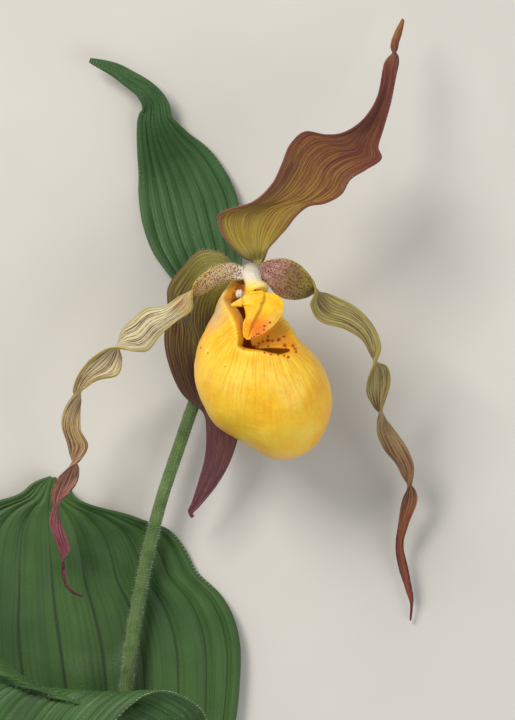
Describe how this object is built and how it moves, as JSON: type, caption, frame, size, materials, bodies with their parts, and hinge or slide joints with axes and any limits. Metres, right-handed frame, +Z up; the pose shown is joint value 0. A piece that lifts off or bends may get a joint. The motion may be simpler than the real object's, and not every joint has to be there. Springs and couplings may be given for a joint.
{
  "type": "cypripedium orchid",
  "caption": "Cut stem of a yellow lady's slipper orchid, lying on its back, with a hollow pouch lip, twisted petals, sepals, bract and pleated leaves",
  "frame": {"origin": "on the surface that the stem lies on, under the middle of the part's bounding box", "axes": "+Z up, the way the flower faces; +Y along the stem from its cut end to the top of the flower; +X to the right as seen from above"},
  "size_m": [0.1502, 0.2682, 0.0472],
  "materials": {
    "stem": "soft green stem with short white hairs",
    "column": "waxy white fading to yellow",
    "staminode": "waxy yellow with red spots",
    "lip": "satin yellow with fine veins",
    "petal": "olive with maroon stripes and dots",
    "sepal": "olive gold with maroon veins",
    "bract": "pleated green with soft sheen",
    "leaf": "pleated dark green with soft sheen"
  },
  "bodies": {
    "root": {"stem": "stem", "ovary": "stem", "column": "column", "staminode": "staminode", "anther_left": "column", "anther_right": "column", "lip": "lip", "left_petal": "petal", "right_petal": "petal", "dorsal_sepal": "sepal", "synsepalum": "sepal", "bract": "bract", "lower_leaf": "leaf", "upper_leaf": "leaf"}
  },
  "joints": []
}
